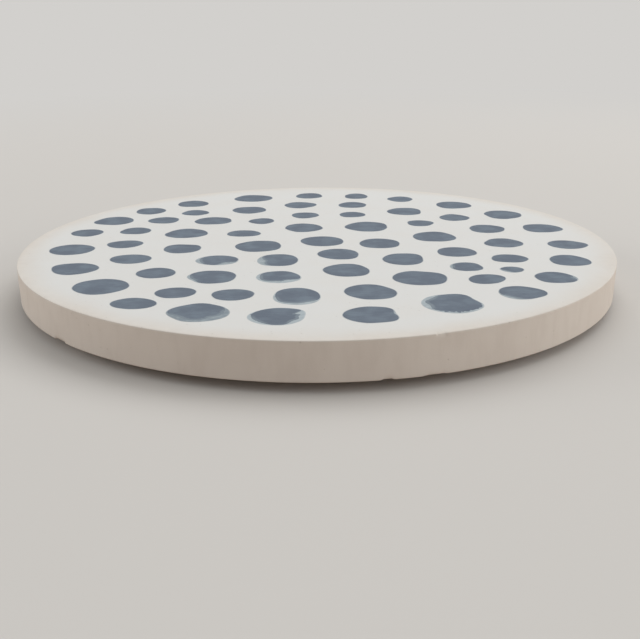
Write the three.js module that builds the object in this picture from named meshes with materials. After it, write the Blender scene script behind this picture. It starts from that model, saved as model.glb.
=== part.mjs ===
// Round drink coaster: a pressed, unglazed ceramic disc with a smaller cork backing glued under it.
// The backing is set in from the rim, so the disc floats on a narrow shadow gap.
// Units are millimetres, +Z is up, and the origin is the middle of the face that rests on the table.

import * as THREE from "three";

// Ceramic disc
const DISC_DIAMETER = 100;
const DISC_THICKNESS = 5.5;
const TOP_EDGE_RADIUS = 0.3;
const BASE_EDGE_CHAMFER = 0.2;

// Cork backing, die-cut from agglomerated sheet, and the adhesive film that holds it
const RIM_OVERHANG = 5;
const CORK_THICKNESS = 1.4;
const ADHESIVE_THICKNESS = 0.1;
const ADHESIVE_SETBACK = 1;

// Facets around each turned piece, and divisions of a profile's arcs, which make two facets each
const TURN_SEGMENTS = 180;
const ARC_DIVISIONS = 3;

const DISC_RADIUS = DISC_DIAMETER / 2;
const CORK_RADIUS = DISC_RADIUS - RIM_OVERHANG;
const ADHESIVE_RADIUS = CORK_RADIUS - ADHESIVE_SETBACK;

const unglazedCeramic = new THREE.MeshStandardMaterial({ color: 0xd8d4cc, roughness: 0.9, metalness: 0 });
const agglomeratedCork = new THREE.MeshStandardMaterial({ color: 0xa9794a, roughness: 0.95, metalness: 0 });
const clearAdhesive = new THREE.MeshStandardMaterial({ color: 0xd9cfae, roughness: 0.4, metalness: 0 });

// A named solid of revolution about Z. The profile runs from the axis, along the underside, up the wall
// and back to the axis over the top, as radius and height.
function turnedPiece(name, profile, material) {
  const points = profile.getPoints(ARC_DIVISIONS);
  const geometry = new THREE.LatheGeometry(points, TURN_SEGMENTS).rotateX(Math.PI / 2);
  const piece = new THREE.Mesh(geometry, material);
  piece.name = name;
  return piece;
}

// A plain disc with square edges, as a punch leaves it.
function punchedProfile(radius, thickness) {
  return new THREE.Path()
    .moveTo(0, 0)
    .lineTo(radius, 0)
    .lineTo(radius, thickness)
    .lineTo(0, thickness);
}

// The disc's flat underside, broken lower edge, straight wall, rounded upper edge and flat drinking face.
function discProfile() {
  const roundingCentre = new THREE.Vector2(DISC_RADIUS - TOP_EDGE_RADIUS, DISC_THICKNESS - TOP_EDGE_RADIUS);
  return new THREE.Path()
    .moveTo(0, 0)
    .lineTo(DISC_RADIUS - BASE_EDGE_CHAMFER, 0)
    .lineTo(DISC_RADIUS, BASE_EDGE_CHAMFER)
    .lineTo(DISC_RADIUS, roundingCentre.y)
    .absarc(roundingCentre.x, roundingCentre.y, TOP_EDGE_RADIUS, 0, Math.PI / 2)
    .lineTo(0, DISC_THICKNESS);
}

const corkProfile = punchedProfile(CORK_RADIUS, CORK_THICKNESS);
const corkBacking = turnedPiece("cork_backing", corkProfile, agglomeratedCork);

const adhesiveProfile = punchedProfile(ADHESIVE_RADIUS, ADHESIVE_THICKNESS);
const adhesiveFilm = turnedPiece("adhesive_film", adhesiveProfile, clearAdhesive);
adhesiveFilm.position.z = CORK_THICKNESS;

const ceramicDisc = turnedPiece("ceramic_disc", discProfile(), unglazedCeramic);
ceramicDisc.position.z = CORK_THICKNESS + ADHESIVE_THICKNESS;

const coaster = new THREE.Group();
coaster.add(corkBacking, adhesiveFilm, ceramicDisc);

export default coaster;
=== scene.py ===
# Dresses the drink coaster: an unglazed ceramic disc with hand-painted spots, glued to a cork backing.
# Lengths are in metres in the part's own frame: +Z up, origin in the middle of the face on the table.

import math
import random
from collections import namedtuple

import bpy
from mathutils import Matrix, Vector, noise


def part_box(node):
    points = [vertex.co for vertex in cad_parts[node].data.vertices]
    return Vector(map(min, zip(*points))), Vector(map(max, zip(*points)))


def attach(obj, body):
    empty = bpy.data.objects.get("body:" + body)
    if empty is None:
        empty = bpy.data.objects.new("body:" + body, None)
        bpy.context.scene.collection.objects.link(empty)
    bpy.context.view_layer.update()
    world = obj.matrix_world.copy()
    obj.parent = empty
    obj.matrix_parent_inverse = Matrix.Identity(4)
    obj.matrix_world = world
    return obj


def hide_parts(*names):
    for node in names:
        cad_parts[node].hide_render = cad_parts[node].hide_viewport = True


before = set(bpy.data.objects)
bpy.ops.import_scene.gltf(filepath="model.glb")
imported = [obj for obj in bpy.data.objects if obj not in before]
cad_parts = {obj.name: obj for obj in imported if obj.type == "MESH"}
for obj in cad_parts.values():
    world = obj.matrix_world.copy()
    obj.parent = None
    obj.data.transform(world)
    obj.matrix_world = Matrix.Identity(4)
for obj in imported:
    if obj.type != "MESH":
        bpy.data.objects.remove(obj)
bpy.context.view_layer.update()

MM = 0.001

# The frame's own sizes
disc_low, disc_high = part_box("ceramic_disc")
cork_low, cork_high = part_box("cork_backing")
DISC_RADIUS = disc_high.x
CORK_RADIUS = cork_high.x

# Paint films on the drinking face: a pale wash first, and the pigment over it. The wash shows round the
# pigment by the bleed, and the pigment is thinnest where it stops short by the thin reach or more. A film
# is even inside its core, which is a share of its radius.
WASH_HEIGHT = 0.015 * MM
PIGMENT_HEIGHT = 0.03 * MM
PAINT_SUNK = 0.01 * MM
PAINT_RIM = 0.3 * MM
PAINT_BLEED = 0.1 * MM
LEAST_BLEED = PAINT_BLEED / 2
THIN_REACH = 0.5 * MM
PAINT_CORE = 0.78

# Outlines of the spots. A wave is a count round the spot and a share of its radius, its strength is drawn
# from a range, and a wobble is how much of the waves a spot gets. The spread of a corner is in degrees.
SPOT_STEPS = 96
WAVES = ((2, 0.015), (3, 0.035), (4, 0.02), (5, 0.012), (7, 0.007), (11, 0.004))
WAVE_STRENGTH = (0.5, 1.2)
PLAIN_WOBBLE = 1.0
SHAPED_WOBBLE = 0.35
CORNER_SPREAD = 26

# Teeth of a ragged edge: the paces through noise from step to step and from spot to spot, and the share of
# the edge's depth that they lie at on the whole
TOOTH_STEP_PACE = 0.55
TOOTH_SPOT_PACE = 1.7
TOOTH_MEAN = 0.5

# Ceramic body, with rings of its flat faces given by how far they lie in from the rim
FACE_HEIGHT = disc_high.z - PIGMENT_HEIGHT
TOP_ROUNDING = 0.14 * MM
LOW_ROUNDING = 0.14 * MM
ROUNDING_STEPS = 6
BODY_SEGMENTS = 2160
WALL_STEP = 0.35 * MM
FACE_INSETS = (0.8 * MM, 3 * MM, 10 * MM, 30 * MM)
UNDER_INSETS = (5 * MM, 1.5 * MM, 0.7 * MM)

# Chips in the body's edges. The spread, the even part and the rough part are shares of a chip's depth, and
# the grain is the size of its roughness.
CHIP_SPREAD = 2.2
CHIP_EVEN = 0.8
CHIP_ROUGH = 0.4
CHIP_GRAIN = 0.3 * MM

# Cork granules. Their tones run from 0 to 1 and are read from noise at places spread wide and shifted, so
# that neighbours differ, and those above the pit tone are torn out. A crevice's width is a share of a
# granule.
GRANULE = 1.7 * MM
CORK_STEP = 0.4 * MM
CORK_SECTORS = 6
CREVICE_WIDTH = 0.16
CREVICE_DEPTH = 0.1 * MM
PIT_TONE = 0.72
PIT_DEPTH = 0.12 * MM
TONE_SPREAD = 7.3
TONE_SHIFT = Vector((3.1, 1.7, 0.4))

# A smooth step of a value from its start to its end, and the levels that it takes there
Ramp = namedtuple("Ramp", "start end least most", defaults=(0.0, 1.0))

# Cloudy noise, as the size of its patches, its detail, the ramp that it goes through and its stretch
Texture = namedtuple("Texture", "size detail ramp stretch", defaults=((1, 1, 1),))

# A fine grain, as its size, its detail, how far it stands proud, the roughness at its low and at its high
# level, and its stretch
Grain = namedtuple("Grain", "size detail depth smoothest roughest stretch", defaults=((1, 1, 1),))
GRAIN_LEVELS = (0.3, 0.7)

# Ceramic finish: a white slip on the face that thins out at a drifting distance near the rim, over clouded
# and streaked clay with pores. A pore lies in the middle of a cell that is chosen by its number, and its
# size is a share of the cell. Each pore is bumped in and darkened with painted shade, as if its pit were in
# shadow.
SLIP_NOISE = (9 * MM, 3)
SLIP_DRIFT = 3 * MM
SLIP_RIM = Ramp(DISC_RADIUS + 3.5 * MM, DISC_RADIUS - 3.5 * MM)
SLIP_EDGE = Ramp(FACE_HEIGHT - 0.12 * MM, FACE_HEIGHT - 0.02 * MM)
CLAY_CLOUDS = Texture(7 * MM, 4, Ramp(0.35, 0.75, 0.0, 0.16))
CLAY_STREAKS = Texture(1.6 * MM, 3, Ramp(0.4, 0.75, 0.0, 0.18), (1, 1, 0.3))
CLAY_GRAIN = Grain(0.22 * MM, 3, 0.012 * MM, 0.84, 0.96)
CLAY_SHINE = 0.25
PORE_SPACING = 0.9 * MM
PORE_CHOICE = Ramp(0.8, 0.82)
PORE_SIZE = Ramp(0.16, 0.08)
PORE_SHADE_STRENGTH = 0.2
PORE_DEPTH = 0.03 * MM

# Paint finish, with ramps of how near the rim the paint lies and how thin it is
PIGMENT_CLOUDS = Texture(2.6 * MM, 3, Ramp(0.35, 0.7))
PIGMENT_STREAKS = Texture(0.5 * MM, 2, Ramp(0.35, 0.8, 0.0, 0.35), (0.22, 1, 1))
PIGMENT_POOLED = Ramp(0.25, 1.0, 0.0, 0.45)
PIGMENT_THINNED = Ramp(0.0, 1.0, 0.0, 0.75)
PIGMENT_GRAIN = Grain(0.2 * MM, 2, 0.008 * MM, 0.78, 0.92)
WASH_CLOUDS = Texture(0.8 * MM, 3, Ramp(0.35, 0.7, -0.2, 0.2))
WASH_FADED = Ramp(0.3, 1.0, 0.0, 0.3)
WASH_GRAIN = Grain(0.2 * MM, 2, 0.01 * MM, 0.82, 0.95)
PAINT_SHINE = 0.25

# Cork finish, with ramps of a granule's tone and of how much of a gap there is
CORK_TAN_TONES = Ramp(0.25, 0.5)
CORK_LIGHT_TONES = Ramp(0.5, 0.85)
CORK_DARK_TONES = Ramp(0.14, 0.08)
CORK_FLECKS = Texture(0.35 * MM, 4, Ramp(0.56, 0.72, 0.0, 0.55))
CORK_GAPS = Ramp(0.3, 1.0, 0.0, 0.8)
CORK_GRAIN = Grain(0.18 * MM, 4, 0.04 * MM, 0.86, 0.98)
CORK_SHINE = 0.2

# Adhesive finish, streaked along X
ADHESIVE_STREAKS = Texture(1.2 * MM, 2, Ramp(0.3, 0.7, 0.0, 0.25), (0.1, 1, 1))
ADHESIVE_GRAIN = Grain(1.2 * MM, 2, 0.01 * MM, 0.3, 0.45, (0.1, 1, 1))
ADHESIVE_SHINE = 0.5

# Camera, from the photograph's viewpoint
CAMERA_PLACE = (0.44 * MM, -140 * MM, 41.62 * MM)
CAMERA_DIP = math.radians(19.55)
CAMERA_ROLL = math.radians(-0.35)
CAMERA_LENS = 45.78
CAMERA_SENSOR = 36.0
CAMERA_NEAR = 1 * MM

# Stage: a floor that fades into the backdrop, and soft boxes that aim at the coaster
SoftBox = namedtuple("SoftBox", "name place size power")
FLOOR_HALF = 8.0
FLOOR_FADE = Ramp(0.1, 0.5)
SOFT_BOXES = [
    SoftBox("key", (0.33, 0.42, 0.80), (1.3, 0.7), 5.4),
    SoftBox("right", (0.75, -0.15, 0.26), (0.5, 0.4), 2.0),
    SoftBox("left", (-0.75, 0.08, 0.26), (0.5, 0.4), 1.9),
]
WORLD_LIGHT = 0.46


def srgb(red, green, blue):
    """A colour given as 8-bit screen values, as the linear RGBA that shaders take."""

    def linear(level):
        share = level / 255
        if share <= 0.04045:
            return share / 12.92
        return ((share + 0.055) / 1.055) ** 2.4

    return (linear(red), linear(green), linear(blue), 1.0)


# Colours
FACE_WHITE = srgb(217, 217, 215)
BODY_IVORY = srgb(215, 208, 199)
BODY_STAIN = srgb(194, 184, 174)
# Painted shade for the inside of a pore
PORE_SHADE = srgb(152, 141, 130)
PIGMENT = srgb(101, 111, 124)
PIGMENT_LIGHT = srgb(113, 125, 137)
PIGMENT_DARK = srgb(91, 99, 113)
WASH = srgb(130, 141, 149)
WASH_PALE = srgb(172, 182, 187)
CORK_TAN = srgb(190, 149, 106)
CORK_LIGHT = srgb(214, 178, 134)
CORK_BROWN = srgb(146, 102, 64)
CORK_DARK = srgb(84, 54, 34)
ADHESIVE = srgb(217, 207, 174)
FLOOR_PALE = srgb(206, 203, 199)
FLOOR_BOUNCE = srgb(198, 183, 172)
BACKDROP = srgb(210, 208, 205)
WORLD_WHITE = (1.0, 1.0, 1.0, 1.0)
LAMP_WHITE = (1.0, 0.99, 0.97)


# A painted spot, in millimetres and degrees. Corners are bulges (or, when negative, flats) of the outline,
# as an angle and a share of the radius. Washes are where the pigment stops short of the wash under it, as
# an angle, a reach in millimetres and a spread. Ragged is a dry-brushed edge, as an angle, a spread and a
# depth in millimetres. Pale is how thin the wash is, from 0 to 1.
Spot = namedtuple("Spot", "x y across deep turn corners washes ragged pale", defaults=(0, (), (), (), 0.5))

SPOTS = [
    # Back of the face
    Spot(-1.8, 39.8, 5.9, 6.3),
    Spot(8.6, 39.0, 5.1, 6.3),
    Spot(-14.0, 37.3, 8.2, 7.7),
    Spot(18.0, 35.4, 5.5, 5.9),
    Spot(-26.4, 31.7, 6.5, 6.7),
    Spot(-3.6, 29.7, 6.7, 6.4),
    Spot(7.4, 29.5, 5.9, 6.2),
    Spot(28.5, 28.7, 7.3, 7.3),
    Spot(-13.9, 24.9, 6.9, 6.8),
    Spot(-34.0, 24.5, 6.1, 6.4),
    Spot(-24.6, 22.6, 5.5, 5.2),
    Spot(17.7, 22.7, 7.1, 7.0),
    Spot(7.0, 20.0, 5.3, 5.1),
    Spot(-2.4, 19.6, 5.5, 5.5),
    Spot(36.8, 19.1, 7.3, 7.8),
    Spot(26.8, 16.7, 5.7, 6.1),
    Spot(-29.8, 15.8, 6.1, 5.7),
    Spot(-39.3, 15.5, 7.4, 7.3),
    Spot(-20.1, 15.1, 7.3, 6.5),
    Spot(-10.7, 14.6, 4.9, 5.1),
    Spot(19.6, 12.0, 5.1, 5.1),
    Spot(9.3, 9.4, 8.0, 8.1),
    Spot(-2.5, 8.8, 6.9, 7.1, 15),
    Spot(41.5, 7.2, 7.2, 6.9),
    Spot(31.3, 7.0, 6.5, 6.7),
    Spot(-33.4, 7.0, 5.6, 5.5),
    Spot(-42.0, 5.7, 5.8, 5.7),
    Spot(-23.7, 4.8, 7.7, 7.2),
    Spot(-13.3, 4.5, 6.2, 5.0),
    # Middle of the face
    Spot(20.8, 1.2, 7.7, 7.4),
    Spot(0.9, -1.6, 7.5, 7.1, 0, ((-38, 0.05), (150, 0.03))),
    Spot(-33.2, -2.9, 6.2, 5.4, 15),
    Spot(10.8, -3.3, 6.9, 6.8, 0, ((-45, 0.08), (-138, 0.07), (190, 0.02))),
    Spot(32.1, -3.6, 6.7, 6.3),
    Spot(-10.1, -4.8, 7.8, 7.6, 0, ((52, 0.08), (172, 0.03), (-38, 0.08), (135, -0.05), (5, 0.02))),
    Spot(42.7, -5.0, 6.7, 5.9, 0, ((-5, 0.04), (40, -0.07), (120, 0.03))),
    Spot(-41.4, -6.4, 7.5, 7.1, 0, ((-45, 0.04), (150, 0.02))),
    Spot(-22.8, -6.2, 6.4, 6.2),
    Spot(23.1, -9.4, 6.5, 6.2, 0, ((-35, 0.05), (-145, 0.06))),
    Spot(3.5, -10.3, 6.8, 6.8, 0, ((165, 0.03), (-50, 0.1), (-130, -0.03))),
    Spot(-30.1, -12.7, 6.6, 5.8, 0, ((154, 0.09), (5, 0.03), (-140, -0.05))),
    Spot(13.8, -13.7, 6.7, 7.1, 0, ((49, 0.14), (138, -0.04), (-55, 0.05), (0, -0.03))),
    Spot(30.9, -13.7, 5.9, 5.1),
    Spot(
        -16.0, -13.7, 6.9, 5.9, 0,
        corners=((-35, 0.04),),
        washes=((-50, 1.0, 24), (190, 0.6, 35)),
        ragged=(-45, 30, 0.3),
        pale=0.6,
    ),
    Spot(
        -6.3, -13.8, 6.6, 7.0, 0,
        corners=((52, 0.07), (128, 0.05), (-55, 0.11), (-128, 0.06)),
        washes=((195, 1.3, 38),),
        pale=0.6,
    ),
    Spot(40.2, -15.0, 6.3, 6.6, 0, ((-38, 0.09), (-138, 0.1), (40, -0.05))),
    # Front of the face
    Spot(-37.6, -18.2, 7.2, 6.6, 0, ((153, 0.13), (50, -0.02), (-5, 0.05), (-98, 0.05), (-150, -0.03))),
    Spot(23.2, -18.4, 5.2, 5.0, 0, (), ((175, 0.35, 30),)),
    Spot(4.5, -19.9, 7.1, 7.1, 0, ((75, 0.03), (170, 0.03), (-45, 0.09), (-150, -0.03))),
    Spot(29.9, -20.1, 3.7, 3.3, 0, (), ((220, 0.4, 45),)),
    Spot(-24.5, -20.8, 6.0, 5.7, 0, ((160, 0.03), (-35, 0.04), (-100, 0.03))),
    Spot(
        -15.8, -23.1, 7.5, 6.9, 0,
        corners=((40, 0.03), (-45, 0.06), (215, -0.12)),
        washes=((213, 0.3, 26), (178, 0.3, 20)),
        pale=0.6,
    ),
    Spot(
        -5.7, -23.3, 6.7, 6.4, 0,
        corners=((-25, 0.05), (40, -0.06)),
        washes=((-100, 0.6, 38), (-52, 0.9, 24), (182, 0.45, 32)),
        ragged=(-60, 45, 0.3),
        pale=0.9,
    ),
    Spot(15.3, -24.3, 8.0, 7.4, 0, ((115, 0.06), (28, 0.04), (65, -0.05), (-40, 0.07), (188, 0.04))),
    Spot(
        35.4, -24.4, 6.1, 5.8, 0,
        corners=((-20, 0.05), (35, -0.06), (100, 0.03), (-132, 0.09), (-52, 0.03)),
        washes=((-5, 0.4, 16),),
    ),
    Spot(25.1, -25.0, 5.7, 4.8, 28, ((-130, 0.09), (15, 0.04))),
    Spot(-31.2, -27.6, 8.0, 7.6, 0, ((150, 0.05), (-10, 0.05), (-100, 0.03), (60, -0.03))),
    Spot(-19.9, -30.8, 5.9, 5.0, 0, ((20, 0.03), (-110, 0.03))),
    Spot(
        7.5, -30.9, 7.3, 7.1, 0,
        corners=((-18, 0.03), (-44, 0.1), (175, 0.03), (80, 0.03), (42, -0.08), (-132, -0.04)),
    ),
    Spot(
        28.7, -31.7, 6.7, 6.2, 0,
        corners=((-3, 0.04), (-115, 0.06), (45, -0.04), (-58, -0.07)),
        washes=((-130, 0.5, 35),),
    ),
    Spot(-11.7, -31.9, 6.0, 5.3, 0, ((155, 0.04), (30, 0.03))),
    Spot(
        -2.7, -32.7, 6.6, 7.7, 0,
        corners=((-135, 0.04), (-45, 0.05), (138, 0.06), (50, -0.03)),
        washes=((-98, 0.5, 34), (-58, 0.6, 24), (200, 0.3, 30)),
        pale=0.85,
    ),
    Spot(-24.8, -35.5, 6.3, 4.9, -10, ((170, 0.03), (-10, 0.03))),
    Spot(
        18.2, -36.3, 8.2, 8.2, 0,
        corners=((60, 0.1), (29, -0.11), (-18, 0.06), (-50, -0.02), (100, -0.03)),
        washes=((140, 0.65, 24), (193, 0.85, 22)),
        ragged=(-80, 62, 0.9),
        pale=0.8,
    ),
    Spot(
        -15.5, -39.4, 8.3, 7.4, 0,
        corners=(
            (177, 0.04), (-145, -0.07), (-32, 0.06), (24, -0.04),
            (60, -0.03), (92, 0.05), (125, -0.03),
        ),
        washes=((215, 0.55, 30), (-105, 0.5, 40), (-42, 1.2, 26), (0, 0.5, 22)),
        ragged=(-50, 50, 0.35),
        pale=0.2,
    ),
    Spot(
        7.1, -40.7, 7.2, 6.7, 0,
        corners=((185, 0.05), (40, 0.08), (12, -0.09), (-36, 0.11), (-60, -0.08)),
        washes=((12, 0.2, 14),),
    ),
    Spot(
        -5.1, -41.2, 7.7, 6.9, 0,
        corners=((137, -0.03), (38, 0.12), (3, -0.06), (-42, -0.05), (-92, -0.03), (225, -0.03)),
        washes=((25, 1.3, 8), (2, 0.7, 16), (-38, 0.7, 24), (185, 0.25, 20), (225, 0.35, 30)),
        ragged=(190, 30, 0.4),
        pale=1.0,
    ),
]

# A chip in the body's edge, in degrees round the disc and in metres. The edge is a height.
Chip = namedtuple("Chip", "angle edge width depth")

LOW_EDGE = disc_low.z
TOP_EDGE = FACE_HEIGHT
CHIPS = [
    Chip(-135, LOW_EDGE, 2.8 * MM, 0.18 * MM),
    Chip(-80, LOW_EDGE, 1.5 * MM, 0.15 * MM),
    Chip(-73, LOW_EDGE, 3.0 * MM, 0.1 * MM),
    Chip(-72.3, TOP_EDGE, 1.5 * MM, 0.12 * MM),
    Chip(-22, LOW_EDGE, 1.1 * MM, 0.12 * MM),
    Chip(48, LOW_EDGE, 1.4 * MM, 0.15 * MM),
    Chip(103, TOP_EDGE, 0.9 * MM, 0.1 * MM),
    Chip(162, LOW_EDGE, 0.8 * MM, 0.12 * MM),
]


def angle_at(step, steps):
    """The angle at a step of a full turn."""
    return math.tau * step / steps


def wrapped(angle):
    """An angle brought to between minus and plus half a turn."""
    return (angle + math.pi) % math.tau - math.pi


def bell(angle, at, spread):
    """A smooth hump of height 1 over angles, round a place given in degrees, as its spread is."""
    return math.exp(-((wrapped(angle - math.radians(at)) / math.radians(spread)) ** 2))


def smooth(low, high, value):
    """0 below low, 1 above high and a smooth step between them."""
    share = min(max((value - low) / (high - low), 0), 1)
    return share * share * (3 - 2 * share)


def polar(radius, angle, height):
    """A point given by its distance from the axis, its angle and its height."""
    return (radius * math.cos(angle), radius * math.sin(angle), height)


def ring_edges(start, steps):
    """The edges round a ring of vertices, as pairs of their numbers."""
    return [(start + step, start + (step + 1) % steps) for step in range(steps)]


def band(low, high, steps):
    """The faces between a ring and the next one out or up."""
    edges = zip(ring_edges(low, steps), ring_edges(high, steps))
    return [(here, following, beyond, above) for (here, following), (above, beyond) in edges]


def fan(ring, steps, point):
    """The faces between a ring and the point that closes it on top."""
    return [(here, following, point) for here, following in ring_edges(ring, steps)]


def closed_rings(first, rings, steps):
    """The faces of a closed form: a point below, rings of as many steps each, and a point on top."""
    start = first + 1
    last = start + rings * steps
    faces = [(first, following, here) for here, following in ring_edges(start, steps)]
    for low in range(start, last - steps, steps):
        faces += band(low, low + steps, steps)
    return faces + fan(last - steps, steps, last)


def add_piece(name, vertices, faces, material, shaded_smooth):
    """Links a mesh piece that rides with the part's one body."""
    mesh = bpy.data.meshes.new(name)
    mesh.from_pydata(vertices, [], faces)
    mesh.polygons.foreach_set("use_smooth", [shaded_smooth] * len(mesh.polygons))
    mesh.materials.append(material)
    piece = bpy.data.objects.new(name, mesh)
    bpy.context.scene.collection.objects.link(piece)
    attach(piece, "root")
    return piece


def add_attribute(piece, name, values):
    """Stores one number for each vertex, for the material to read."""
    attribute = piece.data.attributes.new(name, "FLOAT", "POINT")
    attribute.data.foreach_set("value", values)


class Shader:
    """Short ways to add nodes to a material or a world."""

    def __init__(self, owner):
        owner.use_nodes = True
        self.owner = owner
        self.nodes = owner.node_tree.nodes
        self.links = owner.node_tree.links

    def put(self, value, socket):
        """Links a socket to another, or sets its value."""
        if isinstance(value, bpy.types.NodeSocket):
            self.links.new(value, socket)
        else:
            socket.default_value = value

    def add(self, kind, **settings):
        """A new node with its settings."""
        made = self.nodes.new(kind)
        for name, value in settings.items():
            setattr(made, name, value)
        return made

    def place(self, stretch=(1, 1, 1)):
        """The point on the piece, stretched along each axis."""
        mapping = self.add("ShaderNodeMapping")
        self.put(self.add("ShaderNodeTexCoord").outputs["Object"], mapping.inputs["Vector"])
        self.put(stretch, mapping.inputs["Scale"])
        return mapping.outputs["Vector"]

    def height(self):
        """The height of the point on the piece."""
        made = self.add("ShaderNodeSeparateXYZ")
        self.put(self.place(), made.inputs["Vector"])
        return made.outputs["Z"]

    def reach(self, stretch=(1, 1, 1)):
        """The distance of the point on the piece from the origin, stretched along each axis."""
        made = self.add("ShaderNodeVectorMath", operation="LENGTH")
        self.put(self.place(stretch), made.inputs["Vector"])
        return made.outputs["Value"]

    def noise(self, size, detail, stretch=(1, 1, 1)):
        """Cloudy noise from 0 to 1 whose patches are about size across."""
        made = self.add("ShaderNodeTexNoise")
        self.put(self.place(stretch), made.inputs["Vector"])
        self.put(1 / size, made.inputs["Scale"])
        self.put(detail, made.inputs["Detail"])
        return made.outputs["Fac"]

    def cells(self, size):
        """Distance from the middle of scattered cells about size across, and each cell's own number."""
        made = self.add("ShaderNodeTexVoronoi")
        self.put(self.place(), made.inputs["Vector"])
        self.put(1 / size, made.inputs["Scale"])
        number = self.add("ShaderNodeSeparateXYZ")
        self.put(made.outputs["Color"], number.inputs["Vector"])
        return made.outputs["Distance"], number.outputs["X"]

    def attribute(self, name):
        """The number that a piece stores at its vertices."""
        return self.add("ShaderNodeAttribute", attribute_name=name).outputs["Fac"]

    def calculate(self, operation, first, second):
        """The result of an operation on two numbers."""
        made = self.add("ShaderNodeMath", operation=operation)
        self.put(first, made.inputs[0])
        self.put(second, made.inputs[1])
        return made.outputs["Value"]

    def ramp(self, value, ramp):
        """A smooth step of a value."""
        made = self.add("ShaderNodeMapRange", interpolation_type="SMOOTHSTEP")
        self.put(value, made.inputs["Value"])
        self.put(ramp.start, made.inputs["From Min"])
        self.put(ramp.end, made.inputs["From Max"])
        self.put(ramp.least, made.inputs["To Min"])
        self.put(ramp.most, made.inputs["To Max"])
        return made.outputs["Result"]

    def texture(self, texture):
        """Cloudy noise put through its ramp."""
        return self.ramp(self.noise(texture.size, texture.detail, texture.stretch), texture.ramp)

    def blend(self, factor, first, second):
        """A colour between two others."""
        made = self.add("ShaderNodeMix", data_type="RGBA")
        self.put(factor, made.inputs["Factor"])
        colours = [socket for socket in made.inputs if socket.type == "RGBA"]
        self.put(first, colours[0])
        self.put(second, colours[1])
        return next(socket for socket in made.outputs if socket.type == "RGBA")

    def bump(self, height, depth, under=None):
        """A normal bent by a height that stands depth proud."""
        made = self.add("ShaderNodeBump")
        self.put(height, made.inputs["Height"])
        self.put(depth, made.inputs["Distance"])
        if under is not None:
            self.put(under, made.inputs["Normal"])
        return made.outputs["Normal"]

    def grain(self, grain):
        """The roughness and the normal of a surface with a fine grain."""
        height = self.noise(grain.size, grain.detail, grain.stretch)
        roughness = self.ramp(height, Ramp(*GRAIN_LEVELS, grain.smoothest, grain.roughest))
        return roughness, self.bump(height, grain.depth)

    def seen(self):
        """1 for rays that show a surface to the camera, straight on or in a reflection or glass, and 0 for
        rays that only light it."""
        path = self.add("ShaderNodeLightPath")
        seen = path.outputs["Is Camera Ray"]
        for ray in ("Is Glossy Ray", "Is Transmission Ray"):
            seen = self.calculate("MAXIMUM", seen, path.outputs[ray])
        return seen

    def finish(self, colour, roughness, normal, shine):
        """Sets the Principled shader that the material starts with."""
        surface = self.nodes["Principled BSDF"]
        self.put(colour, surface.inputs["Base Color"])
        self.put(roughness, surface.inputs["Roughness"])
        self.put(normal, surface.inputs["Normal"])
        self.put(shine, surface.inputs["Specular IOR Level"])
        return self.owner

    def finish_mixed(self, output, factor, first, second):
        """Ends in a mix of two other shaders instead."""
        mix = self.add("ShaderNodeMixShader")
        self.put(factor, mix.inputs["Fac"])
        self.put(first, mix.inputs[1])
        self.put(second, mix.inputs[2])
        self.put(mix.outputs["Shader"], self.nodes[output].inputs["Surface"])
        return self.owner


def new_material(name):
    """The shader of a new material."""
    return Shader(bpy.data.materials.new(name))


def ceramic_material():
    """Warm ivory fired clay, with a white slip over the face that thins out near the rim."""
    shader = new_material("unglazed_ceramic")
    drift = shader.calculate("MULTIPLY", shader.noise(*SLIP_NOISE), SLIP_DRIFT)
    from_axis = shader.calculate("ADD", shader.reach((1, 1, 0)), drift)
    inside = shader.ramp(from_axis, SLIP_RIM)
    above = shader.ramp(shader.height(), SLIP_EDGE)
    slip = shader.calculate("MULTIPLY", inside, above)

    clouds = shader.texture(CLAY_CLOUDS)
    clay = shader.blend(clouds, BODY_IVORY, BODY_STAIN)
    clay = shader.blend(shader.texture(CLAY_STREAKS), clay, BODY_STAIN)
    white = shader.blend(clouds, FACE_WHITE, BODY_IVORY)
    colour = shader.blend(slip, clay, white)

    distance, number = shader.cells(PORE_SPACING)
    pore = shader.calculate("MULTIPLY", shader.ramp(distance, PORE_SIZE), shader.ramp(number, PORE_CHOICE))
    # Painted shade: each pore is darkened as if in shadow inside its pit
    colour = shader.blend(shader.calculate("MULTIPLY", pore, PORE_SHADE_STRENGTH), colour, PORE_SHADE)

    roughness, normal = shader.grain(CLAY_GRAIN)
    normal = shader.bump(shader.calculate("SUBTRACT", 1.0, pore), PORE_DEPTH, normal)
    return shader.finish(colour, roughness, normal, CLAY_SHINE)


def pigment_material():
    """Slate-blue brushed pigment: cloudy, streaked along the brush, darker where it pooled at the edge and
    lighter where it lies thin."""
    shader = new_material("slate_pigment")
    colour = shader.blend(shader.texture(PIGMENT_CLOUDS), PIGMENT, PIGMENT_LIGHT)
    colour = shader.blend(shader.texture(PIGMENT_STREAKS), colour, PIGMENT_DARK)
    colour = shader.blend(shader.ramp(shader.attribute("rim"), PIGMENT_POOLED), colour, PIGMENT_DARK)
    colour = shader.blend(shader.ramp(shader.attribute("thin"), PIGMENT_THINNED), colour, WASH)
    return shader.finish(colour, *shader.grain(PIGMENT_GRAIN), PAINT_SHINE)


def wash_material():
    """The thinned pigment round and under a spot, fading out at its edge."""
    shader = new_material("pale_wash")
    thin = shader.calculate("ADD", shader.attribute("thin"), shader.texture(WASH_CLOUDS))
    colour = shader.blend(thin, WASH, WASH_PALE)
    colour = shader.blend(shader.ramp(shader.attribute("rim"), WASH_FADED), colour, FACE_WHITE)
    return shader.finish(colour, *shader.grain(WASH_GRAIN), PAINT_SHINE)


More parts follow.
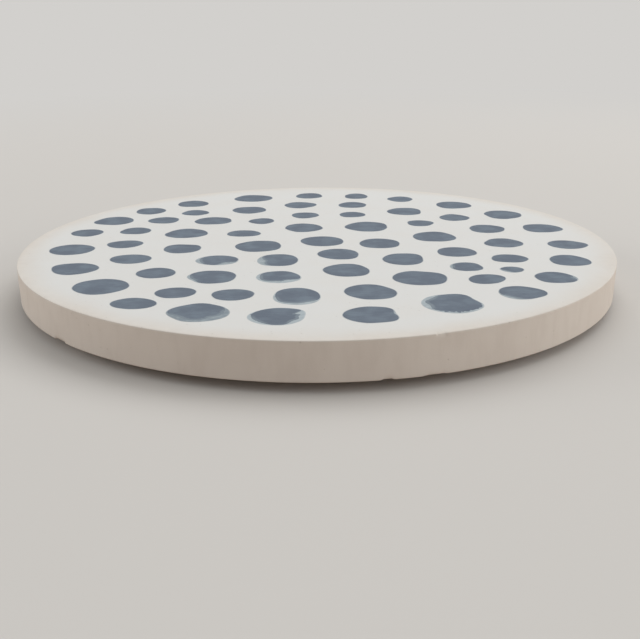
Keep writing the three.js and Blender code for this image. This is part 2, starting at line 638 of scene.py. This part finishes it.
def cork_material():
    """Pressed cork granules of mixed browns, dark in the gaps between them."""
    shader = new_material("agglomerated_cork")
    tone = shader.attribute("tone")
    colour = shader.blend(shader.ramp(tone, CORK_TAN_TONES), CORK_BROWN, CORK_TAN)
    colour = shader.blend(shader.ramp(tone, CORK_LIGHT_TONES), colour, CORK_LIGHT)
    colour = shader.blend(shader.ramp(tone, CORK_DARK_TONES), colour, CORK_DARK)
    colour = shader.blend(shader.texture(CORK_FLECKS), colour, CORK_BROWN)
    colour = shader.blend(shader.ramp(shader.attribute("gap"), CORK_GAPS), colour, CORK_DARK)
    return shader.finish(colour, *shader.grain(CORK_GRAIN), CORK_SHINE)


def adhesive_material():
    """Amber-clear acrylic film with faint streaks from its roller."""
    shader = new_material("acrylic_adhesive")
    colour = shader.blend(shader.texture(ADHESIVE_STREAKS), ADHESIVE, CORK_LIGHT)
    return shader.finish(colour, *shader.grain(ADHESIVE_GRAIN), ADHESIVE_SHINE)


def arc(middle_radius, middle_height, radius, start, end):
    """Rings on a quarter round, as radius and height, with angles in degrees."""
    rings = []
    for step in range(ROUNDING_STEPS + 1):
        angle = math.radians(start + (end - start) * step / ROUNDING_STEPS)
        rings.append((middle_radius + radius * math.cos(angle), middle_height + radius * math.sin(angle)))
    return rings


def body_rings():
    """The rings of the body's outline, as radius and height, along its underside, wall and face."""
    wall_start = disc_low.z + LOW_ROUNDING
    wall_end = FACE_HEIGHT - TOP_ROUNDING
    rows = round((wall_end - wall_start) / WALL_STEP)
    rings = [(DISC_RADIUS - inset, disc_low.z) for inset in UNDER_INSETS]
    rings += arc(DISC_RADIUS - LOW_ROUNDING, wall_start, LOW_ROUNDING, -90, 0)
    rings += [(DISC_RADIUS, wall_start + (wall_end - wall_start) * row / rows) for row in range(1, rows)]
    rings += arc(DISC_RADIUS - TOP_ROUNDING, wall_end, TOP_ROUNDING, 0, 90)
    rings += [(DISC_RADIUS - inset, FACE_HEIGHT) for inset in FACE_INSETS]
    return rings


def chipped(radius, height, angle):
    """A point of the body's edge, moved in where a chip has broken away."""
    for chip in CHIPS:
        along = DISC_RADIUS * wrapped(angle - math.radians(chip.angle))
        across = math.hypot(radius - DISC_RADIUS, height - chip.edge)
        spread = CHIP_SPREAD * chip.depth
        if abs(along) < chip.width / 2 and across < spread:
            share = math.sqrt((1 - (2 * along / chip.width) ** 4) * (1 - (across / spread) ** 2))
            rough = CHIP_EVEN + CHIP_ROUGH * noise.noise(Vector((along, height, chip.angle)) / CHIP_GRAIN)
            amount = chip.depth * share * rough
            radius -= amount
            height += amount if chip.edge == LOW_EDGE else -amount
    return radius, height


def ceramic_body(material):
    """The disc turned from its outline, with its chipped edges."""
    rings = body_rings()
    vertices = [(0, 0, disc_low.z)]
    for ring_radius, ring_height in rings:
        for step in range(BODY_SEGMENTS):
            angle = angle_at(step, BODY_SEGMENTS)
            radius, height = chipped(ring_radius, ring_height, angle)
            vertices.append(polar(radius, angle, height))
    vertices.append((0, 0, FACE_HEIGHT))
    faces = closed_rings(0, len(rings), BODY_SEGMENTS)
    piece = add_piece("ceramic_body", vertices, faces, material, True)
    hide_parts("ceramic_disc")


def outer_outline(spot, seed):
    """Radii of a spot's outer edge, one for each step round it: an ellipse with waves and corners."""
    draw = random.Random(seed)
    wobble = SHAPED_WOBBLE if spot.corners else PLAIN_WOBBLE
    waves = []
    for count, size in WAVES:
        waves.append((count, size * wobble * draw.uniform(*WAVE_STRENGTH), draw.uniform(0, math.tau)))
    radii = []
    for step in range(SPOT_STEPS):
        angle = angle_at(step, SPOT_STEPS)
        turned = angle - math.radians(spot.turn)
        nearness = math.hypot(math.cos(turned) / (spot.across / 2), math.sin(turned) / (spot.deep / 2))
        share = 1 + sum(size * math.cos(count * angle + phase) for count, size, phase in waves)
        share += sum(size * bell(angle, at, CORNER_SPREAD) for at, size in spot.corners)
        radii.append(MM * share / nearness)
    return radii


def wash_reach(spot, step):
    """How far the pigment stops short of the wash at a step round a spot."""
    angle = angle_at(step, SPOT_STEPS)
    return MM * sum(reach * bell(angle, at, spread) for at, reach, spread in spot.washes)


def pigment_outline(spot, outer, seed):
    """Radii of the pigment's edge, drawn in from the spot's outer edge where only the wash shows."""
    radii = []
    for step, radius in enumerate(outer):
        inset = PAINT_BLEED + wash_reach(spot, step)
        if spot.ragged:
            at, spread, depth = spot.ragged
            tooth = TOOTH_MEAN + noise.noise(Vector((step * TOOTH_STEP_PACE, seed * TOOTH_SPOT_PACE, 0)))
            inset += MM * depth * tooth * bell(angle_at(step, SPOT_STEPS), at, spread)
        radii.append(radius - max(inset, LEAST_BLEED))
    return radii


# A film of paint: its spot, the radii of its edge, how thin it lies at each step of that edge, and inside
Film = namedtuple("Film", "spot radii edge_thins core_thin")


def paint_films(name, films, height, material):
    """Closed films of paint, each set into the face by a hair so that no gap shows."""
    low = FACE_HEIGHT - PAINT_SUNK
    edge = FACE_HEIGHT + height / 2
    high = FACE_HEIGHT + height
    vertices = []
    faces = []
    rims = []
    thins = []

    def add(spot, radius, angle, level, rim, thin):
        x, y, z = polar(radius, angle, level)
        vertices.append((spot.x * MM + x, spot.y * MM + y, z))
        rims.append(rim)
        thins.append(thin)

    for film in films:
        first = len(vertices)
        shoulder = [radius - PAINT_RIM for radius in film.radii]
        core = [radius * PAINT_CORE for radius in film.radii]
        core_thins = [film.core_thin] * SPOT_STEPS
        rings = (
            (film.radii, low, 1.0, film.edge_thins),
            (film.radii, edge, 1.0, film.edge_thins),
            (shoulder, high, 0.0, film.edge_thins),
            (core, high, 0.0, core_thins),
        )
        add(film.spot, 0, 0, low, 0.0, film.core_thin)
        for radii, level, rim, ring_thins in rings:
            for step, radius in enumerate(radii):
                add(film.spot, radius, angle_at(step, SPOT_STEPS), level, rim, ring_thins[step])
        add(film.spot, 0, 0, high, 0.0, film.core_thin)
        faces += closed_rings(first, len(rings), SPOT_STEPS)
    piece = add_piece(name, vertices, faces, material, False)
    add_attribute(piece, "rim", rims)
    add_attribute(piece, "thin", thins)


def painted_spots():
    """The washes, and the pigment brushed over them, which thins out where it stops short of its wash."""
    washes = []
    pigments = []
    for seed, spot in enumerate(SPOTS):
        outer = outer_outline(spot, seed)
        inner = pigment_outline(spot, outer, seed)
        thins = [smooth(0, THIN_REACH, wash_reach(spot, step)) for step in range(SPOT_STEPS)]
        washes.append(Film(spot, outer, [spot.pale] * SPOT_STEPS, spot.pale))
        pigments.append(Film(spot, inner, thins, 0.0))
    paint_films("spot_washes", washes, WASH_HEIGHT, wash_material())
    paint_films("spot_pigment", pigments, PIGMENT_HEIGHT, pigment_material())


def granule(point):
    """How deep the cork's surface lies at a point, the granule's tone, and how much of a gap it is."""
    distances, middles = noise.voronoi(point / GRANULE)
    gap = 1 - smooth(0, CREVICE_WIDTH, distances[1] - distances[0])
    tone = 0.5 + 0.5 * noise.noise(middles[0] * TONE_SPREAD + TONE_SHIFT)
    torn = 1 if tone > PIT_TONE else 0
    return CREVICE_DEPTH * gap + PIT_DEPTH * torn, tone, gap


def table_ring_start(ring):
    """The first vertex of a ring on the cork's table face. Each sector has one vertex more from ring to
    ring, and ring 0 is the middle."""
    return 1 + CORK_SECTORS * ring * (ring - 1) // 2 if ring else 0


def table_faces(rings):
    """The triangles of the cork's table face, ring by ring from the middle."""
    faces = []
    for ring in range(1, rings + 1):
        inner_start = table_ring_start(ring - 1)
        outer_start = table_ring_start(ring)
        inner_count = max(CORK_SECTORS * (ring - 1), 1)
        outer_count = CORK_SECTORS * ring
        for sector in range(CORK_SECTORS):
            for step in range(ring):
                inner_step = sector * (ring - 1) + step
                outer_step = sector * ring + step
                inner = inner_start + inner_step % inner_count
                outer = outer_start + outer_step
                outer_following = outer_start + (outer_step + 1) % outer_count
                faces.append((outer, inner, outer_following))
                if step < ring - 1:
                    inner_following = inner_start + (inner_step + 1) % inner_count
                    faces.append((inner, inner_following, outer_following))
    return faces


def cork_sheet(material):
    """The punched cork disc: granules flush with the table face, with gaps and torn pits between them."""
    thickness = cork_high.z - cork_low.z
    rings = round(CORK_RADIUS / CORK_STEP)
    rows = round(thickness / CORK_STEP)
    around = CORK_SECTORS * rings
    vertices = []
    tones = []
    gaps = []

    def add(radius, angle, height, inward, upward):
        depth, tone, gap = granule(Vector(polar(radius, angle, height)))
        vertices.append(polar(radius - inward * depth, angle, height + upward * depth))
        tones.append(tone)
        gaps.append(gap)

    add(0, 0, cork_low.z, 0, 1)
    for ring in range(1, rings + 1):
        inward = 1 if ring == rings else 0
        for step in range(CORK_SECTORS * ring):
            add(CORK_RADIUS * ring / rings, angle_at(step, CORK_SECTORS * ring), cork_low.z, inward, 1)
    for row in range(1, rows + 1):
        for step in range(around):
            add(CORK_RADIUS, angle_at(step, around), cork_low.z + thickness * row / rows, 1, 0)
    add(0, 0, cork_high.z, 0, 0)

    faces = table_faces(rings)
    last = len(vertices) - 1
    for low in range(table_ring_start(rings), last - around, around):
        faces += band(low, low + around, around)
    faces += fan(last - around, around, last)

    piece = add_piece("cork_sheet", vertices, faces, material, True)
    add_attribute(piece, "tone", tones)
    add_attribute(piece, "gap", gaps)
    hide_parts("cork_backing")


def adhesive_film(material):
    """The film keeps its CAD shape and gets its own material."""
    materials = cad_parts["adhesive_film"].data.materials
    materials.clear()
    materials.append(material)


def floor_material():
    """A pale, plain floor to the camera that sends slightly warm light back up to the coaster."""
    shader = new_material("pale_floor")
    seen = shader.seen()
    diffuse = shader.add("ShaderNodeBsdfDiffuse")
    shader.put(shader.blend(seen, FLOOR_BOUNCE, FLOOR_PALE), diffuse.inputs["Color"])
    backdrop = shader.add("ShaderNodeEmission")
    shader.put(BACKDROP, backdrop.inputs["Color"])
    faded = shader.calculate("MULTIPLY", shader.ramp(shader.reach(), FLOOR_FADE), seen)
    shader.nodes.remove(shader.nodes["Principled BSDF"])
    looks = (diffuse.outputs["BSDF"], backdrop.outputs["Emission"])
    return shader.finish_mixed("Material Output", faded, *looks)


def add_floor():
    """A wide square floor under the coaster."""
    corners = [(-1, -1), (1, -1), (1, 1), (-1, 1)]
    mesh = bpy.data.meshes.new("floor")
    mesh.from_pydata([(x * FLOOR_HALF, y * FLOOR_HALF, cork_low.z) for x, y in corners], [], [(0, 1, 2, 3)])
    mesh.materials.append(floor_material())
    floor = bpy.data.objects.new("floor", mesh)
    bpy.context.scene.collection.objects.link(floor)


def add_world():
    """Even soft light all round, with a pale backdrop for the camera."""
    shader = Shader(bpy.data.worlds.new("studio"))
    light = shader.nodes["Background"]
    shader.put(WORLD_WHITE, light.inputs["Color"])
    shader.put(WORLD_LIGHT, light.inputs["Strength"])
    backdrop = shader.add("ShaderNodeBackground")
    shader.put(BACKDROP, backdrop.inputs["Color"])
    looks = (light.outputs["Background"], backdrop.outputs["Background"])
    bpy.context.scene.world = shader.finish_mixed("World Output", shader.seen(), *looks)


def add_soft_box(box):
    """A wide soft light aimed at the coaster."""
    data = bpy.data.lights.new(box.name, "AREA")
    data.shape = "RECTANGLE"
    data.size, data.size_y = box.size
    data.energy = box.power
    data.color = LAMP_WHITE
    lamp = bpy.data.objects.new(box.name, data)
    lamp.location = box.place
    lamp.rotation_euler = (-Vector(box.place)).to_track_quat("-Z", "Y").to_euler()
    bpy.context.scene.collection.objects.link(lamp)


def add_camera():
    """The camera at the photograph's viewpoint."""
    data = bpy.data.cameras.new("camera")
    data.sensor_width = CAMERA_SENSOR
    data.lens = CAMERA_LENS
    data.clip_start = CAMERA_NEAR
    camera = bpy.data.objects.new("camera", data)
    tilt = Matrix.Rotation(math.pi / 2 - CAMERA_DIP, 4, "X")
    camera.matrix_world = Matrix.Translation(CAMERA_PLACE) @ tilt @ Matrix.Rotation(CAMERA_ROLL, 4, "Z")
    bpy.context.scene.collection.objects.link(camera)
    bpy.context.scene.camera = camera


add_camera()
add_floor()
add_world()
for box in SOFT_BOXES:
    add_soft_box(box)
ceramic_body(ceramic_material())
painted_spots()
cork_sheet(cork_material())
adhesive_film(adhesive_material())
bpy.context.scene.view_settings.view_transform = "Standard"
